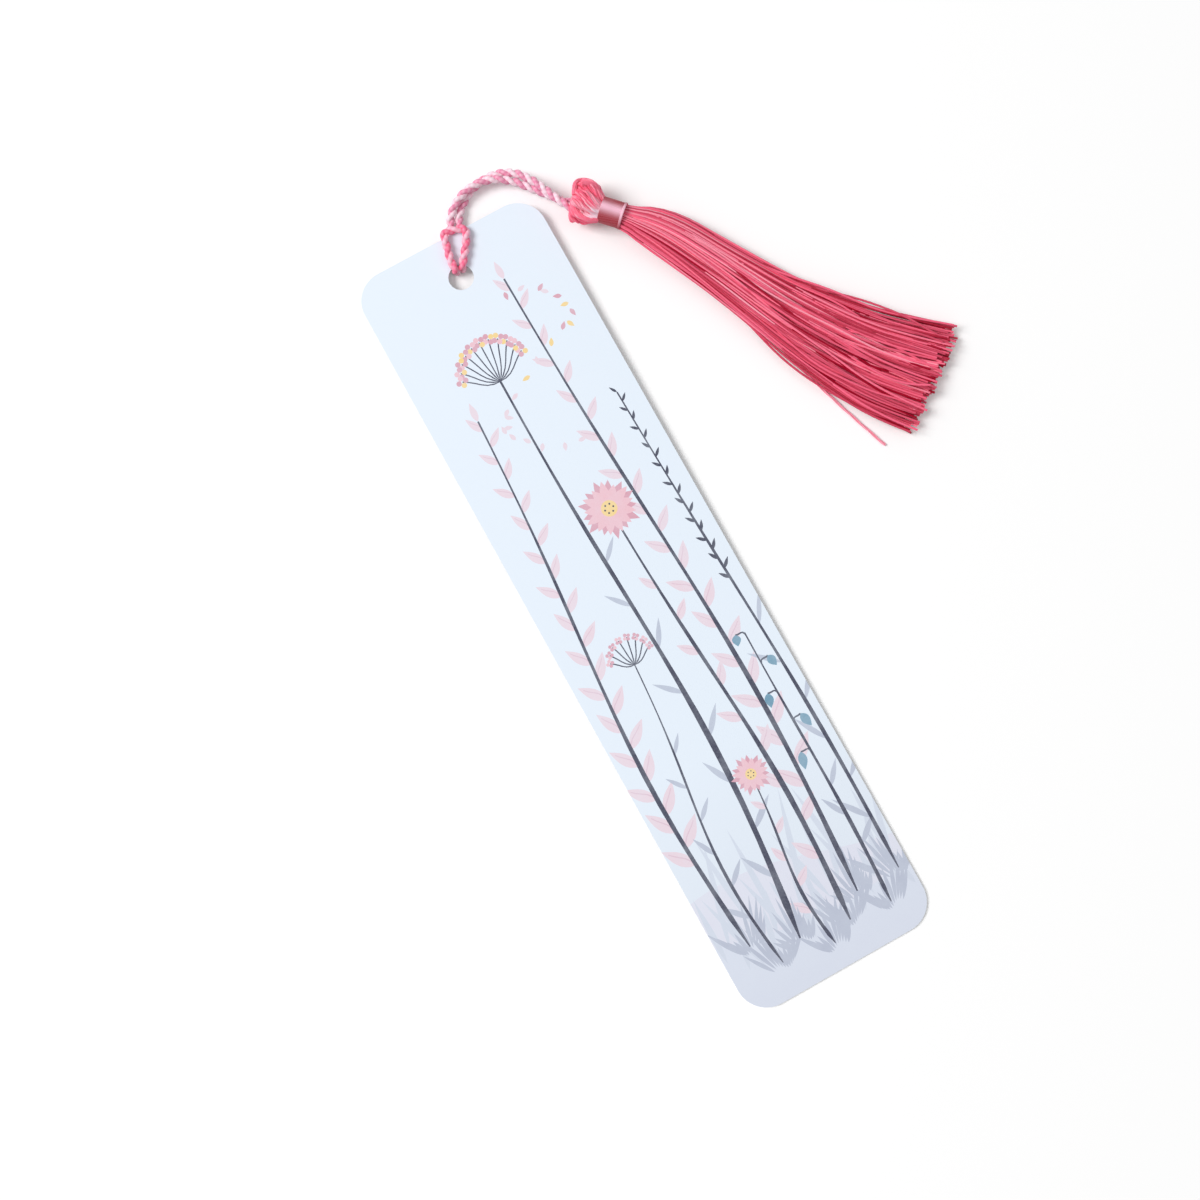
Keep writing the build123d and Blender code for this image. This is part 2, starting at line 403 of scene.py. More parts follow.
# A tuft of grass at each root, then the stems, and their flowers over all of them
for kind, line, width in stems:
    for blade in range(-5, 6):
        wild = math.sin(7 * blade + 36 * line[0].x / card_width)
        foot = line[0] + Vector((0.011 * blade, 0.012 * wild - 0.02)) * card_width
        length = card_width * (0.17 + 0.07 * wild)
        draw_leaf("dusk", foot, 90 - 7 * blade - 8 * wild, length, card_width * 0.020)
for kind, line, width in stems:
    draw_stem("slate", line, width, width * 0.3)
for kind, line, width in stems:
    tip = line[1]
    heading = bowed(*line, 1)[1]
    if kind == "sprig":
        draw_leaf("blush", tip, heading, card_width * 0.10, card_width * 0.034)
    if kind == "umbel":
        draw_umbel(tip, heading, card_width * 0.22, 11, ("rose", "petal", "rose", "sun"))
    if kind == "small umbel":
        draw_umbel(tip, heading, card_width * 0.14, 8, ("rose", "petal", "rose"))
    if kind == "daisy":
        draw_daisy(tip, card_width * 0.150, 13)
    if kind == "small daisy":
        draw_daisy(tip, card_width * 0.100, 11)
    if kind == "ear":
        draw_leaves(line, 0.60, 1.0, 21, "slate", 0.085, 0.024)
    if kind == "bells":
        for bell in range(5):
            place, turn = bowed(*line, 0.55 + 0.11 * bell)
            side = 1 if bell % 2 else -1
            hook = place + polar(turn - 60 * side, card_width * 0.052)
            stalk = (place, hook, card_width * 0.012 * side)
            length = card_width * (0.088 - 0.008 * bell)
            draw_stem("slate", stalk, card_width * 0.010, card_width * 0.007, 6)
            draw_leaf("teal", hook, -90 + 14 * side, length, card_width * 0.044)

# The card's face, cut along the edge of every shape, and sunk to the film's thickness
card_outline = []
for turn, across_sign, up_sign in ((0, 1, 1), (90, -1, 1), (180, -1, -1), (270, 1, -1)):
    centre = Vector((across_sign * (half_width - corner_radius), up_sign * (half_length - corner_radius)))
    card_outline += arc_points(centre, corner_radius, turn, turn + 90, corner_steps)
hole_place = Vector((0, half_length - hole_inset))
hole_outline = arc_points(hole_place, hole_diameter / 2, 0, 360 - 360 / hole_steps, hole_steps - 1)
flat_points = []
flat_faces = []
for outline in [card_outline, hole_outline] + [outline for ink, outline in ink_shapes]:
    flat_faces.append(list(range(len(flat_points), len(flat_points) + len(outline))))
    flat_points += outline
inside_only = 1
merge_distance = 1e-8
flat_points, _, cut_faces, _, _, cut_sources = delaunay_2d_cdt(
    flat_points, [], flat_faces, inside_only, merge_distance, True
)
print_mesh = bmesh.new()
ink_layer = print_mesh.loops.layers.float_color.new("ink")
top_places = [print_mesh.verts.new(on_card(p.x, p.y, card_thickness / 2)) for p in flat_points]
for corners, sources in zip(cut_faces, cut_sources):
    if 0 in sources and 1 not in sources:
        face = print_mesh.faces.new([top_places[corner] for corner in corners])
        colour = (1, 1, 1, 0)
        if max(sources) > 1:
            tint, cover = inks[ink_shapes[max(sources) - 2][0]]
            colour = (*screen(*tint)[:3], cover)
        for loop in face.loops:
            loop[ink_layer] = colour
bmesh.ops.delete(print_mesh, geom=[v for v in print_mesh.verts if not v.link_faces], context="VERTS")
sunk = bmesh.ops.extrude_face_region(print_mesh, geom=print_mesh.faces[:], use_keep_orig=True)
sunk_places = [item for item in sunk["geom"] if isinstance(item, bmesh.types.BMVert)]
bmesh.ops.translate(print_mesh, verts=sunk_places, vec=-card_normal * film_thickness)
bmesh.ops.recalc_face_normals(print_mesh, faces=print_mesh.faces[:])


def placed_object(name, data):
    """Return an object of some data, put in the scene at the origin."""
    made = bpy.data.objects.new(name, data)
    bpy.context.scene.collection.objects.link(made)
    return made


printed_data = bpy.data.meshes.new("printed_front")
print_mesh.to_mesh(printed_data)
print_mesh.free()
printed_front = placed_object("printed_front", printed_data)

ground_top = (233, 243, 254)
ground_middle = (232, 242, 253)
ground_foot = (222, 229, 240)
ground_span = (-0.080, 0.078)
ground_step = 0.3
ink_grain_scale = 2600
ink_pool_scale = 210
ink_noise_span = (0.3, 0.7)
ink_grain_span = (0.92, 1.0)
ink_pool_span = (0.86, 1.10)


class Measure:
    """A number that a node tree works out, on which sums can be written as plain arithmetic."""

    def __init__(self, tree, socket):
        self.tree = tree
        self.socket = socket

    def sum(self, operation, *others, **settings):
        """Return the outcome of one of the tree's own sums, with this number first."""
        inputs = dict(enumerate((self, *others)))
        made = add(self.tree, "ShaderNodeMath", inputs, operation=operation, **settings)
        return Measure(self.tree, made.outputs[0])

    def __add__(self, other):
        return self.sum("ADD", other)

    def __sub__(self, other):
        return self.sum("SUBTRACT", other)

    def __rsub__(self, other):
        return self.sum("MULTIPLY_ADD", -1.0, other)

    def __mul__(self, other):
        return self.sum("MULTIPLY", other)

    def __truediv__(self, other):
        return self.sum("DIVIDE", other)

    def __pow__(self, other):
        return self.sum("POWER", other)


front_finish, front_tree, front_shader = new_finish("laminated_print")
front_axes = add(front_tree, "ShaderNodeSeparateXYZ", {0: object_place(front_tree)}).outputs
front_height = stretched(front_tree, front_axes["Y"], ground_span, (0, 1))
front_ramp = add(front_tree, "ShaderNodeValToRGB", {"Fac": front_height})
front_ramp.color_ramp.elements[0].color = screen(*ground_foot)
front_ramp.color_ramp.elements[1].color = screen(*ground_top)
front_ramp.color_ramp.elements.new(ground_step).color = screen(*ground_middle)
front_ink = add(front_tree, "ShaderNodeAttribute", attribute_name="ink").outputs
ink_grain = stretched(front_tree, grain_mask(front_tree, ink_grain_scale), ink_noise_span, ink_grain_span)
ink_pool = stretched(front_tree, grain_mask(front_tree, ink_pool_scale), ink_noise_span, ink_pool_span)
ink_cover = Measure(front_tree, front_ink["Alpha"]).sum("MULTIPLY", ink_pool, use_clamp=True) * ink_grain
front_colour = blend_colours(front_tree, ink_cover, front_ramp.outputs["Color"], front_ink["Color"])
satin_film(front_tree, front_shader, front_colour)
printed_data.materials.append(front_finish)
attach(printed_front, "card")
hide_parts("front_film")

# Hitch: the cord's loop, passed through the hole from behind and drawn snug against the card's top edge.
# The strand is two glossy rayon plies twisted together, one deep pink and one nearly white; the nearly
# white ply is partly a painted highlight of the satin.
mm = 0.001
strand_height = 0.00105
plies = 2
ply_reach = 0.00036
ply_radius = 0.00049
ply_pitch = 0.0038
ply_sides = 10
lay_step = 0.00014
route_resolution = 24
thread_bump_depth = 0.00003
thread_bump_strength = 0.4
shade_turns = 7.0

# From the hole's centre, in millimetres: right, up the card, and share of the strand's height over the card
hitch_route = [
    (2.35, 8.0, -1.09),
    (-0.05, 2.3, -1.09),
    (-0.25, 1.65, -0.9),
    (-0.25, 1.65, 0.9),
    (-0.35, 2.9, 1.07),
    (0.15, 5.4, 1.07),
    (1.0, 8.7, 1.07),
    (1.5, 9.4, 1.07),
    (3.4, 8.75, 1.07),
    (5.2, 8.2, 1.07),
    (5.35, 7.6, 1.07),
    (4.1, 5.3, 1.07),
    (2.2, 2.8, 1.07),
    (1.1, 1.6, 0.9),
    (1.1, 1.6, -0.9),
    (1.45, 2.1, -1.09),
    (3.7, 7.4, -1.09),
]
hitch_places = [
    hole_centre + card_right * right * mm + card_up * up * mm + card_normal * level * strand_height
    for right, up, level in hitch_route
]


def route_spline(name, routes):
    """Return a curve object with one smooth spline for each route, its points as control points."""
    data = bpy.data.curves.new(name, "CURVE")
    data.dimensions = "3D"
    for points in routes:
        spline = data.splines.new("NURBS")
        spline.points.add(len(points) - 1)
        for control, place in zip(spline.points, points):
            control.co = (*place, 1)
        spline.order_u = 3
        spline.use_endpoint_u = True
        spline.resolution_u = route_resolution
    return placed_object(name, data)


def geometry_tree(name, inputs):
    """Return a geometry tree with named inputs, listed by their kind, and the sockets of those inputs."""
    tree = bpy.data.node_groups.new(name, "GeometryNodeTree")
    tree.interface.new_socket("Geometry", in_out="OUTPUT", socket_type="NodeSocketGeometry")
    for kind, titles in {"Geometry": ["Geometry"], **inputs}.items():
        for title in titles:
            tree.interface.new_socket(title, in_out="INPUT", socket_type=f"NodeSocket{kind}")
    return tree, tree.nodes.new("NodeGroupInput").outputs


def measured(tree, kind, output, inputs=None, **settings):
    """Return what a new node gives out, as a measure for sums."""
    return Measure(tree, add(tree, kind, inputs, **settings).outputs[output])


def vectors(tree, operation, first, second=(0, 0, 0)):
    """Return a sum of two vectors."""
    inputs = {0: first, 1: second}
    return add(tree, "ShaderNodeVectorMath", inputs, operation=operation).outputs["Vector"]


def scaled(tree, vector, size):
    """Return a vector times a number."""
    inputs = {0: vector, "Scale": size}
    return add(tree, "ShaderNodeVectorMath", inputs, operation="SCALE").outputs["Vector"]


def joined(tree, x, y, z):
    """Return the vector of three numbers."""
    return add(tree, "ShaderNodeCombineXYZ", {0: x, 1: y, 2: z}).outputs[0]


def point_place(tree):
    """Return the place of each point."""
    return add(tree, "GeometryNodeInputPosition").outputs["Position"]


def laid_over(tree, lines, place, rise, floor):
    """Move each point of some lines to a place and up by a rise, but never to under the floor."""
    axes = add(tree, "ShaderNodeSeparateXYZ", {0: place}).outputs
    height = (Measure(tree, axes["Z"]) + rise).sum("MAXIMUM", floor)
    inputs = {"Geometry": lines, "Position": joined(tree, axes["X"], axes["Y"], height)}
    return add(tree, "GeometryNodeSetPosition", inputs).outputs["Geometry"]


def as_group(tree, group, inputs):
    """Place one geometry tree inside another and return the geometry that it gives."""
    return add(tree, "GeometryNodeGroup", inputs, node_tree=group).outputs["Geometry"]


# Twisting: copies of a line, wound round it side by side
twist_tree, twist_in = geometry_tree(
    "twisted_copies", {"Int": ["Copies"], "Float": ["Reach", "Pitch", "Start", "Step", "Floor"]}
)
twist_line = add(
    twist_tree,
    "GeometryNodeResampleCurve",
    {"Curve": twist_in["Geometry"], "Length": twist_in["Step"]},
    mode="LENGTH",
)
twist_copies = add(
    twist_tree,
    "GeometryNodeDuplicateElements",
    {"Geometry": twist_line.outputs["Curve"], "Amount": twist_in["Copies"]},
    domain="SPLINE",
).outputs
twist_run = measured(twist_tree, "GeometryNodeSplineParameter", "Length") - twist_in["Start"]
twist_share = Measure(twist_tree, twist_copies["Duplicate Index"]) / twist_in["Copies"]
twist_angle = (twist_run.sum("MAXIMUM", 0.0) / twist_in["Pitch"] + twist_share) * math.tau
twist_normal = add(twist_tree, "GeometryNodeInputNormal").outputs["Normal"]
twist_tangent = add(twist_tree, "GeometryNodeInputTangent").outputs["Tangent"]
twist_across = vectors(twist_tree, "CROSS_PRODUCT", twist_tangent, twist_normal)
twist_offset = vectors(
    twist_tree,
    "ADD",
    scaled(twist_tree, twist_normal, twist_angle.sum("COSINE")),
    scaled(twist_tree, twist_across, twist_angle.sum("SINE")),
)
twist_offset = scaled(twist_tree, twist_offset, twist_in["Reach"])
twist_place = vectors(twist_tree, "ADD", point_place(twist_tree), twist_offset)
twist_laid = laid_over(twist_tree, twist_copies["Geometry"], twist_place, 0.0, twist_in["Floor"])
add(twist_tree, "NodeGroupOutput", {"Geometry": twist_laid})


def twisted(tree, lines, copies, reach, pitch, start=0.0, floor=0.0):
    """Return copies of lines in a tree, twisted together from a start on."""
    inputs = {"Geometry": lines, "Copies": copies, "Reach": reach, "Pitch": pitch}
    inputs |= {"Start": start, "Step": lay_step, "Floor": floor}
    return as_group(tree, twist_tree, inputs)


def stored(tree, geometry, name, value, kind="FLOAT"):
    """Return geometry whose points keep a value under a name."""
    inputs = {"Geometry": geometry, "Name": name, "Value": value}
    made = add(tree, "GeometryNodeStoreNamedAttribute", inputs, data_type=kind, domain="POINT")
    return made.outputs["Geometry"]


# Spinning: each line becomes a round thread that knows its length, its round and its shade
spin_tree, spin_in = geometry_tree(
    "spun_thread", {"Float": ["Radius", "Shade"], "Int": ["Sides"], "Material": ["Material"]}
)
spin_length = add(spin_tree, "GeometryNodeSplineParameter").outputs["Length"]
spin_lines = stored(spin_tree, spin_in["Geometry"], "along", spin_length)
spin_lines = stored(spin_tree, spin_lines, "shade", spin_in["Shade"])
spin_round = add(
    spin_tree,
    "GeometryNodeCurvePrimitiveCircle",
    {"Resolution": spin_in["Sides"], "Radius": spin_in["Radius"]},
)
spin_outward = vectors(spin_tree, "NORMALIZE", point_place(spin_tree))
spin_ring = stored(spin_tree, spin_round.outputs["Curve"], "ring", spin_outward, "FLOAT_VECTOR")
spin_mesh = add(
    spin_tree,
    "GeometryNodeCurveToMesh",
    {"Curve": spin_lines, "Profile Curve": spin_ring, "Fill Caps": True},
)
spin_real = add(spin_tree, "GeometryNodeRealizeInstances", {"Geometry": spin_mesh.outputs["Mesh"]})
spin_set = add(
    spin_tree,
    "GeometryNodeSetMaterial",
    {"Geometry": spin_real.outputs["Geometry"], "Material": spin_in["Material"]},
)
add(spin_tree, "NodeGroupOutput", {"Geometry": spin_set.outputs["Geometry"]})


def end_in_threads(tree, lines, radius, sides, shade, material):
    """End a tree by spinning its lines to threads."""
    inputs = {"Geometry": lines, "Radius": radius, "Sides": sides, "Shade": shade, "Material": material}
    add(tree, "NodeGroupOutput", {"Geometry": as_group(tree, spin_tree, inputs)})


# Thread look: the slant of the fibres round a thread, its own shade and the fuzz of the fibres
thread_look, look_in = shader_group("thread_look", ["Fibre Pitch"], ["Shade", "Slant", "Fuzz"])
look_shade = measured(thread_look, "ShaderNodeAttribute", "Fac", attribute_name="shade")
look_along = measured(thread_look, "ShaderNodeAttribute", "Fac", attribute_name="along")
look_ring = add(thread_look, "ShaderNodeAttribute", attribute_name="ring")
look_axes = add(thread_look, "ShaderNodeSeparateXYZ", {0: look_ring.outputs["Vector"]}).outputs
look_angle = (look_along / look_in["Fibre Pitch"] + look_shade * shade_turns) * math.tau
look_slant = look_angle.sum("SINE") * look_axes["X"] + look_angle.sum("COSINE") * look_axes["Y"]
look_fuzz = add(
    thread_look,
    "ShaderNodeTexNoise",
    {"Vector": object_place(thread_look), "Scale": 5200, "Detail": 3, "Roughness": 0.6},
)
add(
    thread_look,
    "NodeGroupOutput",
    {
        "Shade": look_shade,
        "Slant": stretched(thread_look, look_slant, (-1, 1), (0, 1)),
        "Fuzz": look_fuzz.outputs[0],
    },
)


def thread_finish(name, colours, fibre_pitch, shade_share, slant_share, fuzz_share, shine=0.4):
    """Return a glossy thread material, from deep to bright, and past a tone of 1 to its pale colour, used
    as a painted highlight and for paler threads.
    """
    deep, bright, pale_and_highlight = [screen(*colour) for colour in colours]
    material, tree, shader = new_finish(name)
    look = add(tree, "ShaderNodeGroup", {"Fibre Pitch": fibre_pitch}, node_tree=thread_look).outputs
    tone = Measure(tree, look["Shade"]) * shade_share
    tone = tone + Measure(tree, look["Slant"]) * slant_share
    tone = tone + Measure(tree, look["Fuzz"]) * fuzz_share
    over = tone.sum("SUBTRACT", 1.0, use_clamp=True)
    feed(
        tree,
        shader,
        {
            "Base Color": blend_colours(tree, over, blend_colours(tree, tone, deep, bright), pale_and_highlight),
            "Normal": roughened(tree, look["Slant"], thread_bump_strength, thread_bump_depth),
            "Roughness": 0.42,
            "Specular IOR Level": shine,
            "Specular Tint": bright,
            "Sheen Weight": 0.08,
            "Sheen Roughness": 0.35,
            "Sheen Tint": bright,
        },
    )
    return material


def run_tree(name, tree, carrier, values):
    """Run a tree on a carrier and return what it makes as a plain mesh object at the origin."""
    modifier = carrier.modifiers.new(tree.name, "NODES")
    modifier.node_group = tree
    for item in tree.interface.items_tree:
        if item.in_out == "INPUT" and item.name in values:
            modifier[item.identifier] = values[item.name]
    view = bpy.context.evaluated_depsgraph_get()
    data = bpy.data.meshes.new_from_object(carrier.evaluated_get(view), depsgraph=view)
    carrier.modifiers.remove(modifier)
    bpy.data.objects.remove(carrier)
    data.name = name
    for polygon in data.polygons:
        polygon.use_smooth = len(polygon.vertices) == 4
    return placed_object(name, data)


def ply_shade(tree):
    """Return a shade that is 0 on every other thread and 1 on those between."""
    return measured(tree, "GeometryNodeCurveOfPoint", "Curve Index").sum("MODULO", plies)


# Cord colours: the nearly white ply is partly a painted highlight. The hitch is the same cord as the
# hanging cord, in a deeper copy of its colours: painted shade.
cord_deep = (228, 116, 158)
cord_pale_and_highlight = (255, 236, 244)
loop_deep = (250, 86, 132)
loop_pale_and_highlight = (255, 212, 228)
cord_fibre_pitch = 0.0009
cord_colours = (cord_deep, cord_pale_and_highlight, cord_pale_and_highlight)
loop_colours = (loop_deep, loop_pale_and_highlight, cord_pale_and_highlight)
cord_finish = thread_finish("glossy_cord", cord_colours, cord_fibre_pitch, 0.55, 0.25, 0.2)
shaded_loop_finish = thread_finish("shaded_loop_copy", loop_colours, cord_fibre_pitch, 0.5, 0.25, 0.2)

strand_tree, strand_in = geometry_tree(
    "twisted_strand", {"Float": ["Reach", "Radius", "Pitch"], "Material": ["Material"]}
)
strand_radius = strand_in["Radius"]
strand_plies = twisted(
    strand_tree, strand_in["Geometry"], plies, strand_in["Reach"], strand_in["Pitch"], floor=strand_radius
)
strand_shade = ply_shade(strand_tree)
end_in_threads(strand_tree, strand_plies, strand_radius, ply_sides, strand_shade, strand_in["Material"])
hitch_strand = run_tree(
    "hitch_strand",
    strand_tree,
    route_spline("hitch_route", [hitch_places]),
    {"Reach": ply_reach, "Radius": ply_radius, "Pitch": ply_pitch, "Material": shaded_loop_finish},
)
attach(hitch_strand, "hitch")
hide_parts("hitch_loop")

# Hanging cord: the loop's two strands, twisted together from the card's edge to the tassel's head.
# It comes out from under the hitch's bight, lies on the table in an arch and climbs to the head.
strands = 2
strand_reach = 0.00084
strand_pitch = 0.036
strand_start = 0.003
cord_overlap = 0.006
cord_end = Vector(joint_named["tassel_swing"]["pos_m"])

# From the hole's centre, in millimetres: right, up the card, and height above the table
cord_route = [
    (2.95, 7.6, 0.60),
    (3.85, 9.85, 0.56),
    (4.4, 11.1, 1.5),
    (7.2, 13.8, 1.5),
    (11.1, 15.3, 1.58),
    (15.3, 15.0, 1.84),
    (18.9, 12.7, 2.4),
    (21.8, 8.2, 3.29),
    (24.1, 3.3, 4.3),
    (26.3, 0.6, 4.3),
]
cord_places = [
    Vector((hole_centre.x + right * mm, hole_centre.y + up * mm, height * mm))
    for right, up, height in cord_route
]


def spline_points(carrier):
    """Return the points that a bare curve object runs through."""
    data = bpy.data.meshes.new_from_object(carrier)
    places = [vertex.co.copy() for vertex in data.vertices]
    bpy.data.meshes.remove(data)
    return places


rope_tree, rope_in = geometry_tree("doubled_cord", {"Float": ["From", "To"], "Material": ["Material"]})
rope_strands = twisted(rope_tree, rope_in["Geometry"], strands, strand_reach, strand_pitch, strand_start)
rope_plies = twisted(rope_tree, rope_strands, plies, ply_reach, ply_pitch, floor=ply_radius)
rope_cut = add(
    rope_tree,
    "GeometryNodeTrimCurve",
    {0: rope_plies, 2: rope_in["From"], 3: rope_in["To"]},
    mode="FACTOR",
).outputs["Curve"]
end_in_threads(rope_tree, rope_cut, ply_radius, ply_sides, ply_shade(rope_tree), rope_in["Material"])

cord_carrier = route_spline("cord_route", [cord_places])
whole_line = spline_points(cord_carrier)
swing_step = min(range(len(whole_line)), key=lambda step: (whole_line[step] - cord_end).length)
line_runs = [(after - before).length for before, after in zip(whole_line, whole_line[1:])]
swing_share = sum(line_runs[:swing_step]) / sum(line_runs)
twisted_cord = run_tree(
    "twisted_cord",
    rope_tree,
    cord_carrier,
    {"From": 0.0, "To": swing_share + cord_overlap, "Material": cord_finish},
)
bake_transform(twisted_cord)
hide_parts("hanging_cord")

# Tassel head: the threads of the tassel, folded over the knot that ends the cord and drawn together below.
# The fold swells to a knob, with the threads running from its mouth, round the cord, down to the neck.
tassel_heading = -47
head_start = 0.0015
head_length = 0.0067
head_width = 0.0095
head_height = 0.0086
head_lean = 0.0005
head_threads = 340
head_thread_radius = 0.00021
tassel_deep = (163, 11, 40)
tassel_bright = (255, 112, 142)
# Pale colour of the tassel's threads past a tone of 1, used as a painted highlight
tassel_pale_and_highlight = (255, 228, 240)
tassel_colours = (tassel_deep, tassel_bright, tassel_pale_and_highlight)
tassel_fibre_pitch = 0.0011
tassel_finish = thread_finish("rayon_thread", tassel_colours, tassel_fibre_pitch, 0.9, 0.06, 0.14)
tassel_turn = math.radians(tassel_heading)
tassel_way = Vector((math.cos(tassel_turn), math.sin(tassel_turn), 0))
upright = Vector((0, 0, 1))
tassel_side = upright.cross(tassel_way)

# Thread fan: threads laid side by side along a guide line, inside an outline that widens and narrows
fan_inputs = {
    "Int": ["Threads", "Points", "Sides", "Seed"],
    "Float": [
        "Radius", "Width", "Height", "Packing", "Locks", "Tallness", "Clump", "Wave", "Wave Length",
        "Stray", "Drift", "Limit", "Swirl", "Ragged", "Skew", "Contrast", "Paleness", "Fade", "Painted Highlight",
        "Floor",
    ],
    "Material": ["Material"],
}
golden_angle = math.pi * (3 - math.sqrt(5))

# Locks: how evenly they lie, how soon they gather, how far in they draw a thread at their edge
lock_randomness = 0.9
lock_gather = 0.35
lock_draw = 0.3
lock_rows = 90.0

# Lone threads: how few are wild, how much the calm and the wild ones wander, how calm the rim is
thread_rows = 3.7
wild_rarity = 3.0
wild_least = 0.4
wild_more = 1.6
rim_calm = 0.8
rim_softness = 0.3

# Tones: painted shade low in the bundle and at a lock's edge, and a painted highlight to one side of the
# bundle's top
painted_low_shade_power = 1.5
painted_low_shade_share = 0.45
lock_share_of_tone = 0.22
painted_edge_shade_share = 0.6
painted_highlight_across = 0.76
painted_highlight_up = 0.65
painted_highlight_tightness = 4.0
painted_highlight_fall = 3.5


def share_curve(tree, share, points):
    """Return a share read off a curve drawn through given points."""
    made = add(tree, "ShaderNodeFloatCurve", {"Value": share})
    curve = made.mapping.curves[0]
    for place, value in points[2:]:
        curve.points.new(place, value)
    for point, (place, value) in zip(curve.points, sorted(points)):
        point.location = (place, value)
    made.mapping.update()
    return Measure(tree, made.outputs[0])


def random_share(tree, number, seed, extra):
    """Return a steady random share for a number."""
    inputs = {2: 0.0, 3: 1.0, 7: number, 8: Measure(tree, seed) + extra}
    return measured(tree, "FunctionNodeRandomValue", 1, inputs, data_type="FLOAT")


def ripple(tree, row, along, extra):
    """Return a smooth random swing, from minus a half to a half, along a row."""
    inputs = {"Vector": joined(tree, row, along, extra), "Scale": 1.0, "Detail": 1.0}
    return measured(tree, "ShaderNodeTexNoise", 0, inputs) - 0.5


def fan_tree(name, along_points, width_points, height_points):
    """Return a tree that lays threads along the guide line that it is given."""
    tree, fan = geometry_tree(name, fan_inputs)
    line = add(tree, "GeometryNodeCurvePrimitiveLine", {"Start": (0, 0, 0), "End": (0, 0, 1)})
    row_inputs = {"Curve": line.outputs["Curve"], "Count": fan["Points"]}
    row = add(tree, "GeometryNodeResampleCurve", row_inputs, mode="COUNT")
    thread_inputs = {"Geometry": row.outputs["Curve"], "Amount": fan["Threads"]}
    threads = add(tree, "GeometryNodeDuplicateElements", thread_inputs, domain="SPLINE")
    number = measured(tree, "GeometryNodeCurveOfPoint", "Curve Index")
    share = measured(tree, "GeometryNodeSplineParameter", "Factor")

    # Each thread's place in the round bundle, and the share of the guide line that its own length takes
    reach = ((number + 0.5) / fan["Threads"]) ** fan["Packing"]
    first_turn = number * golden_angle
    ragged = random_share(tree, number, fan["Seed"], 1) * fan["Ragged"]
    skewed = (1.0 - reach * first_turn.sum("COSINE")) * fan["Skew"]
    share = share * (1.0 - (ragged + skewed))
    turn = first_turn + share * fan["Swirl"]
    own_across = reach * turn.sum("COSINE")
    own_up = reach * turn.sum("SINE")

    # The lock that it keeps to, which pulls it to its middle
    own = joined(tree, own_across, own_up / fan["Tallness"], 0.0)
    cell_inputs = {"Vector": own, "Scale": fan["Locks"], "Randomness": lock_randomness}
    cells = add(tree, "ShaderNodeTexVoronoi", cell_inputs, voronoi_dimensions="2D").outputs
    held_inputs = {0: share**lock_gather * fan["Clump"], 4: own, 5: cells["Position"]}
    held = add(tree, "ShaderNodeMix", held_inputs, data_type="VECTOR").outputs[1]
    edge = Measure(tree, cells["Distance"])
    axes = add(tree, "ShaderNodeSeparateXYZ", {0: scaled(tree, held, 1.0 - edge * lock_draw)}).outputs
    lock_share = measured(tree, "ShaderNodeSeparateXYZ", 0, {0: cells["Color"]})
    lock = lock_share * lock_rows

    # How far it swings with its lock and by itself
    wild = random_share(tree, number, fan["Seed"], 9) ** wild_rarity
    wildness = (wild * wild_more + wild_least) * (1.0 - reach**2.0 * rim_calm)
    drift = (random_share(tree, number, fan["Seed"], 13) - 0.5) * fan["Drift"] * (wild * share)
    stretch = share / fan["Wave Length"]
    loose = share * fan["Wave"]
    lone = share * fan["Stray"] * wildness
    thread_row = number * thread_rows
    lock_swing = ripple(tree, lock, stretch, 2.3) * loose
    lock_lift = ripple(tree, lock, stretch, 7.9) * loose
    own_swing = ripple(tree, thread_row, stretch, 4.1) * lone
    own_lift = ripple(tree, thread_row, stretch, 11.7) * lone

    # The guide line's place and directions, and the outline's half width and half height there
    guide_inputs = {"Curves": fan["Geometry"], "Factor": share_curve(tree, share, along_points)}
    guide = add(
        tree, "GeometryNodeSampleCurve", guide_inputs, mode="FACTOR", use_all_curves=False
    ).outputs
    aside = vectors(tree, "NORMALIZE", vectors(tree, "CROSS_PRODUCT", upright, guide["Tangent"]))
    half_wide = share_curve(tree, share, width_points) * fan["Width"] * 0.5
    half_high = share_curve(tree, share, height_points) * fan["Height"] * 0.5
    limit = half_wide * fan["Limit"]
    softness = half_wide * rim_softness
    across = (Measure(tree, axes["X"]) + drift) * half_wide + own_swing
    across = across.sum("SMOOTH_MIN", limit, softness)
    across = across.sum("SMOOTH_MAX", limit * -1.0, softness) + lock_swing
    rise = Measure(tree, axes["Y"]) * fan["Tallness"] * half_high + (lock_lift * 0.5 + own_lift * 0.5)
    place = vectors(tree, "ADD", guide["Position"], scaled(tree, aside, across))
    laid = laid_over(tree, threads.outputs["Geometry"], place, rise, fan["Floor"])

    # Its tone, in which locks and threads differ by chance, with painted shade low in the bundle and at a
    # lock's edge, and a painted highlight to one side of its top that fades along the guide line
    chance = random_share(tree, number, fan["Seed"], 5).sum("SQRT")
    tone = ((own_up + 1.0) * 0.5) ** painted_low_shade_power * painted_low_shade_share + chance * fan["Contrast"]
    tone = tone + lock_share * lock_share_of_tone + fan["Paleness"]
    tone = tone - edge * painted_edge_shade_share - share * fan["Fade"]
    painted_highlight_share = (own_across * painted_highlight_across + own_up * painted_highlight_up).sum("MAXIMUM", 0.0) ** painted_highlight_tightness
    tone = tone + painted_highlight_share * (1.0 - share) ** painted_highlight_fall * fan["Painted Highlight"]
    end_in_threads(tree, laid, fan["Radius"], fan["Sides"], tone, fan["Material"])
    return tree


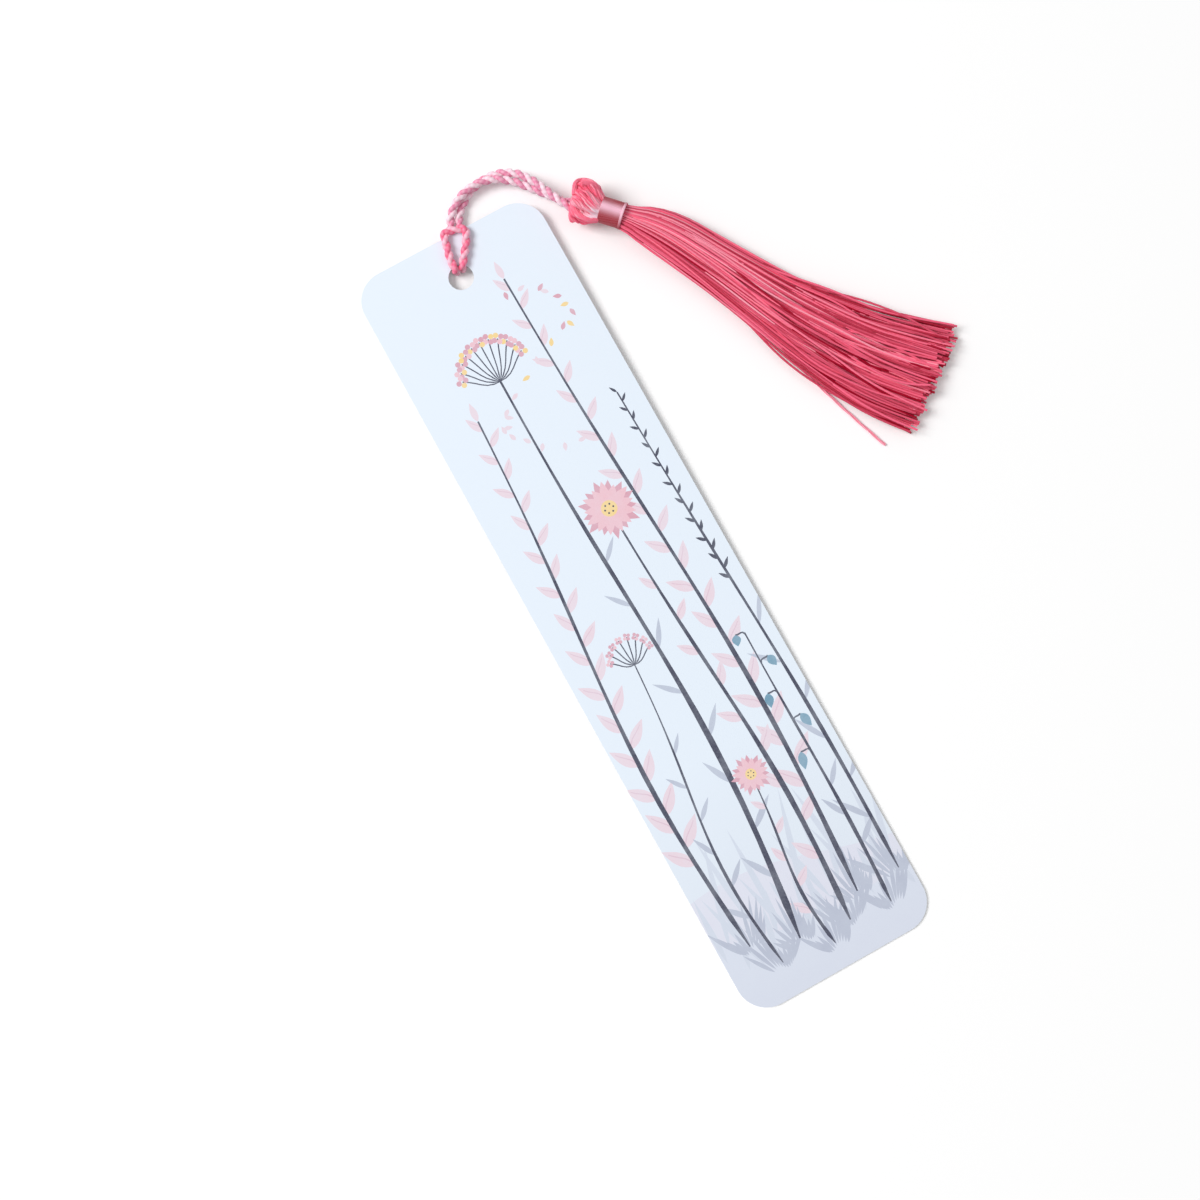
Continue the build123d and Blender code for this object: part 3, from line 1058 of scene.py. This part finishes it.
head_profile = [
    (0, 0.54), (1, 0.42), (0.10, 0.60), (0.25, 0.78), (0.45, 0.93), (0.65, 1.0), (0.83, 0.99), (0.94, 0.84),
]
even_along = [(0, 0), (1, 1)]
head_tree = fan_tree("folded_head", even_along, head_profile, head_profile)
head_places = [
    cord_end + tassel_way * (head_start + head_length * share) + tassel_side * head_lean * lean
    for share, lean in ((1.08, 0), (0.8, 0), (0.48, 1), (0.12, 1))
]
tassel_knob = run_tree(
    "tassel_knob",
    head_tree,
    route_spline("head_guide", [head_places]),
    {
        "Threads": head_threads,
        "Points": 26,
        "Radius": head_thread_radius,
        "Sides": 6,
        "Width": head_width - 2 * head_thread_radius,
        "Height": head_height - 2 * head_thread_radius,
        "Packing": 0.32,
        "Locks": 3.0,
        "Tallness": 1.0,
        "Clump": 0.14,
        "Wave": 0.0011,
        "Wave Length": 0.5,
        "Stray": 0.0004,
        "Drift": 0.0,
        "Limit": 1.5,
        "Swirl": 0.8,
        "Ragged": 0.0,
        "Skew": 0.0,
        "Contrast": 0.95,
        # The knob's added paleness is a painted sheen on its folded threads
        "Paleness": 0.20,
        "Fade": 0.0,
        # A painted highlight on one side of the knob's top, strongest next to the neck
        "Painted Highlight": 2.8,
        "Floor": head_thread_radius,
        "Seed": 3,
        "Material": tassel_finish,
    },
)
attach(tassel_knob, "tassel")
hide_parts("tassel_head", "end_knot")

# Folded rolls of thread round the knob's mouth, in millimetres along the tassel, to its side and up
roll_routes = [
    [
        (2.7, 0.2, 2.9),
        (2.4, 1.3, 3.0),
        (2.15, 2.4, 2.5),
        (2.25, 3.35, 1.6),
        (2.95, 4.05, 1.0),
        (4.4, 4.5, 0.8),
        (6.2, 4.0, 0.4),
        (7.6, 2.6, 0.0),
    ],
    [
        (2.7, -0.7, 2.5),
        (3.0, -1.7, 2.2),
        (3.9, -2.6, 1.9),
        (5.4, -3.2, 1.6),
        (6.8, -3.2, 1.2),
        (8.2, -2.3, 0.5),
    ],
    [(3.4, 2.6, 3.3), (4.6, 3.3, 2.9), (5.8, 3.3, 2.2), (7.4, 2.4, 1.4)],
]
roll_threads = 6
roll_reach = 0.00030
roll_thread_radius = 0.00022
roll_pitch = 0.014
roll_sides = 6
roll_shade = 1.1


def at_tassel(along, side, rise):
    """Return a place given in millimetres from the end of the cord: along the tassel, to its side, up."""
    return cord_end + (tassel_way * along + tassel_side * side + Vector((0, 0, rise))) * mm


roll_tree, roll_in = geometry_tree(
    "rolled_threads", {"Int": ["Copies"], "Float": ["Reach", "Radius", "Shade"], "Material": ["Material"]}
)
roll_lines = twisted(roll_tree, roll_in["Geometry"], roll_in["Copies"], roll_in["Reach"], roll_pitch)
end_in_threads(roll_tree, roll_lines, roll_in["Radius"], roll_sides, roll_in["Shade"], roll_in["Material"])
head_rolls = run_tree(
    "head_rolls",
    roll_tree,
    route_spline("roll_routes", [[at_tassel(*point) for point in route] for route in roll_routes]),
    {
        "Copies": roll_threads,
        "Reach": roll_reach,
        "Radius": roll_thread_radius,
        "Shade": roll_shade,
        "Material": tassel_finish,
    },
)
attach(head_rolls, "tassel")

# The cord's last stretch, into the head's mouth
tail_overlap = 0.012
cord_tail = run_tree(
    "cord_tail",
    rope_tree,
    route_spline("tail_route", [cord_places]),
    {"From": swing_share - tail_overlap, "To": 1.0, "Material": cord_finish},
)
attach(cord_tail, "tassel")

# Binding: one fine glossy thread, wound in close turns round the neck below the head and tied off.
# A heavier pair of turns closes its lower edge, and stands a little proud.
binding_length = 0.0045
binding_radius = 0.00248
binding_thread_radius = 0.00013
binding_turns = 21
# How tightly the painted highlight keeps to the top of the binding
binding_highlight_power = 11.0
ridge_length = 0.0004
ridge_set_back = 0.0003
ridge_radius = 0.00257
ridge_thread_radius = 0.00015
ridge_turns = 2
# How tightly the painted highlight keeps to the top of the ridge
ridge_highlight_power = 2.0
winding_sides = 8
# The binding thread's deep red, and the pale pink of the painted highlight along its top
binding_deep = (162, 6, 24)
binding_painted_highlight = (255, 208, 226)
binding_colours = (binding_deep, binding_painted_highlight, binding_painted_highlight)
binding_fibre_pitch = 0.0006
binding_shine = 0.15
binding_finish = thread_finish(
    "binding_thread", binding_colours, binding_fibre_pitch, 0.85, 0.08, 0.12, binding_shine
)
neck_start = cord_end + tassel_way * (head_start + head_length)
neck_end = neck_start + tassel_way * binding_length

wind_tree, wind_in = geometry_tree(
    "wound_neck",
    {
        "Float": ["Length", "Radius", "Turns", "Thread Radius", "Highlight Power", "Heading"],
        "Int": ["Sides"],
        "Vector": ["Place"],
        "Material": ["Material"],
    },
)
wind_spiral = add(
    wind_tree,
    "GeometryNodeCurveSpiral",
    {
        "Resolution": 48,
        "Rotations": wind_in["Turns"],
        "Start Radius": wind_in["Radius"],
        "End Radius": wind_in["Radius"],
        "Height": wind_in["Length"],
    },
)
wind_turned = add(
    wind_tree,
    "GeometryNodeTransform",
    {
        "Geometry": wind_spiral.outputs["Curve"],
        "Translation": wind_in["Place"],
        "Rotation": joined(wind_tree, 0.0, math.pi / 2, wind_in["Heading"]),
    },
).outputs["Geometry"]
# Painted highlight: the thread is paler the nearer it runs to the top of the round, and keeps its deep red
# on the sides and underside
wind_rise = vectors(wind_tree, "SUBTRACT", point_place(wind_tree), wind_in["Place"])
wind_crest = measured(wind_tree, "ShaderNodeSeparateXYZ", "Z", {0: wind_rise}) / wind_in["Radius"]
wind_painted_highlight = wind_crest.sum("MAXIMUM", 0.0) ** wind_in["Highlight Power"]
wind_radius = wind_in["Thread Radius"]
end_in_threads(wind_tree, wind_turned, wind_radius, wind_in["Sides"], wind_painted_highlight, wind_in["Material"])


def wound(name, place, length, radius, turns, thread_radius, crest):
    """Return turns of thread, wound along the tassel from a place on its axis, with a painted highlight
    along their top whose tightness is crest.
    """
    return run_tree(
        name,
        wind_tree,
        route_spline(name, [[place, place + tassel_way * length]]),
        {
            "Length": length,
            "Radius": radius,
            "Turns": turns,
            "Thread Radius": thread_radius,
            "Highlight Power": crest,
            "Sides": winding_sides,
            "Place": place,
            "Heading": tassel_turn,
            "Material": binding_finish,
        },
    )


neck_winding = wound(
    "neck_winding",
    neck_start,
    binding_length,
    binding_radius,
    binding_turns,
    binding_thread_radius,
    binding_highlight_power,
)
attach(neck_winding, "tassel")
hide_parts("binding_core", "binding_thread")
ridge_start = neck_end - tassel_way * ridge_set_back
neck_ridge = wound(
    "neck_ridge", ridge_start, ridge_length, ridge_radius, ridge_turns, ridge_thread_radius, ridge_highlight_power
)
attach(neck_ridge, "tassel")

# Skirt: several hundred rayon threads that hang from the binding, cut square at the end.
# They keep to loose locks, fan out as they lie down on the table, and stray a little from each other.
skirt_width = 0.0240
skirt_height = 0.0036
skirt_threads = 330
skirt_thread_radius = 0.00022

# Middle line of the skirt, in millimetres from the card's middle: right, up and height above the table
skirt_route = [
    (30.2, 69.5, 4.3),
    (33.26, 66.21, 4.25),
    (39.2, 59.6, 3.5),
    (44.6, 49.5, 2.4),
    (49.4, 39.9, 2.1),
    (54.0, 31.0, 2.0),
    (59.4, 22.4, 1.9),
    (64.7, 15.2, 1.8),
    (72.2, 7.3, 1.73),
]
skirt_width_shares = [
    (0, 0.17), (1, 1), (0.075, 0.24), (0.12, 0.34), (0.19, 0.43), (0.35, 0.50), (0.48, 0.585),
    (0.61, 0.705), (0.74, 0.81), (0.86, 0.92),
]
skirt_height_shares = [(0, 1.0), (1, 0.86), (0.1, 1.0), (0.25, 1.0), (0.6, 0.95)]
skirt_tree = fan_tree("hanging_skirt", even_along, skirt_width_shares, skirt_height_shares)
skirt_fan = run_tree(
    "skirt_fan",
    skirt_tree,
    route_spline("skirt_guide", [[Vector(point) * mm for point in skirt_route]]),
    {
        "Threads": skirt_threads,
        "Points": 34,
        "Radius": skirt_thread_radius,
        "Sides": 5,
        "Width": skirt_width,
        "Height": skirt_height,
        "Packing": 0.5,
        "Locks": 6.0,
        "Tallness": 3.5,
        "Clump": 0.42,
        "Wave": 0.0038,
        "Wave Length": 0.55,
        "Stray": 0.0150,
        "Drift": 1.6,
        "Limit": 0.96,
        "Swirl": 0.0,
        "Ragged": 0.035,
        "Skew": 0.0195,
        # With this contrast some threads pass a tone of 1 and take the painted highlight colour
        "Contrast": 1.9,
        "Paleness": -0.74,
        "Fade": 0.16,
        # A painted highlight on one side of the skirt's top, strongest by the binding
        "Painted Highlight": 0.5,
        "Floor": skirt_thread_radius,
        "Seed": 11,
        "Material": tassel_finish,
    },
)
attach(skirt_fan, "tassel")
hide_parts(*[f"skirt_lock_{number:02d}" for number in range(1, 20)])

# A few threads that have strayed from the skirt's lower edge, given as its middle line is
stray_count = 3
stray_reach = 0.00017
stray_thread_radius = 0.00012
stray_shade = 1.35
stray_route = [
    (41.5, 49.5, 1.3),
    (45.2, 37.6, 1.0),
    (48.4, 27.4, 0.6),
    (50.6, 19.6, 0.35),
    (53.4, 10.6, 0.35),
    (56.2, 2.6, 0.35),
]
stray_threads = run_tree(
    "stray_threads",
    roll_tree,
    route_spline("stray_route", [[Vector(point) * mm for point in stray_route]]),
    {
        "Copies": stray_count,
        "Reach": stray_reach,
        "Radius": stray_thread_radius,
        "Shade": stray_shade,
        "Material": tassel_finish,
    },
)
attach(stray_threads, "tassel")

# Floor, light and camera: a white studio table under soft light, seen from almost straight above.
# The camera stands where the photograph's card corners and its 160 by 40 mm card put it.
floor_colour = (250, 250, 250)
floor_reach = 1.5
floor_glow = (0.08, 1.0)
floor_glow_span = (0.2, 1.2)
world_glow = (0.40, 1.0)
white = (1, 1, 1, 1)
floor_data = bpy.data.meshes.new("table")
floor_corners = [
    (across * floor_reach, up * floor_reach, 0) for across, up in ((-1, -1), (1, -1), (1, 1), (-1, 1))
]
floor_data.from_pydata(floor_corners, [], [(0, 1, 2, 3)])
table = placed_object("table", floor_data)
floor_finish, floor_tree, floor_shader = new_finish("white_table")
floor_ray = measured(floor_tree, "ShaderNodeLightPath", "Is Camera Ray")
floor_distance = add(
    floor_tree, "ShaderNodeVectorMath", {0: object_place(floor_tree)}, operation="LENGTH"
)
floor_rise = stretched(floor_tree, floor_distance.outputs["Value"], floor_glow_span, floor_glow)
feed(
    floor_tree,
    floor_shader,
    {
        "Base Color": screen(*floor_colour),
        "Roughness": 0.9,
        "Specular IOR Level": 0.0,
        "Emission Color": white,
        "Emission Strength": floor_ray * floor_rise,
    },
)
floor_data.materials.append(floor_finish)

scene = bpy.context.scene
scene.view_settings.view_transform = "Standard"
scene.world = bpy.data.worlds.new("studio")
scene.world.use_nodes = True
world_tree = scene.world.node_tree
world_rays = add(world_tree, "ShaderNodeLightPath").outputs
world_seen = Measure(world_tree, world_rays["Is Camera Ray"]).sum("MAXIMUM", world_rays["Is Glossy Ray"])
world_seen = world_seen.sum("MAXIMUM", world_rays["Is Transmission Ray"])
world_level = stretched(world_tree, world_seen, (0, 1), world_glow)
feed(world_tree, world_tree.nodes["Background"], {"Color": white, "Strength": world_level})


def soft_lamp(name, place, size, power):
    """Hang a square lamp at a place and aim it at the bookmark."""
    data = bpy.data.lights.new(name, "AREA")
    data.shape = "SQUARE"
    data.size = size
    data.energy = power
    lamp = placed_object(name, data)
    lamp.location = place
    lamp.rotation_euler = (lamp_target - Vector(place)).to_track_quat("-Z", "Y").to_euler()


lamp_target = Vector((0.01, 0.0, 0.0))
soft_lamp("key_lamp", (-1.1, 0.7, 1.5), 0.9, 29.5)
soft_lamp("fill_lamp", (1.2, -0.9, 1.4), 1.0, 3.6)

camera_azimuth = math.radians(26.401)
camera_elevation = math.radians(84.146)
camera_roll = math.radians(-2.615)
camera_target = Vector((-0.0069, 0.003056, 0))
camera_distance = 0.308313
camera_focal_pixels = 1600
image_pixels = 1200
sensor_width = 36
sin_azimuth = math.sin(camera_azimuth)
cos_azimuth = math.cos(camera_azimuth)
sin_elevation = math.sin(camera_elevation)
cos_elevation = math.cos(camera_elevation)
forward = Vector((sin_azimuth * cos_elevation, cos_azimuth * cos_elevation, -sin_elevation))
level_up = Vector((sin_azimuth * sin_elevation, cos_azimuth * sin_elevation, cos_elevation))
level_right = forward.cross(level_up)
camera_right = level_right * math.cos(camera_roll) + level_up * math.sin(camera_roll)
camera_up = level_up * math.cos(camera_roll) - level_right * math.sin(camera_roll)
camera_data = bpy.data.cameras.new("camera")
camera_data.sensor_width = sensor_width
camera_data.lens = camera_focal_pixels / image_pixels * sensor_width
camera_data.clip_start = 0.01
camera = placed_object("camera", camera_data)
camera_axes = Matrix((camera_right, camera_up, -forward)).transposed().to_4x4()
camera_axes.translation = camera_target - forward * camera_distance
camera.matrix_world = camera_axes
scene.camera = camera
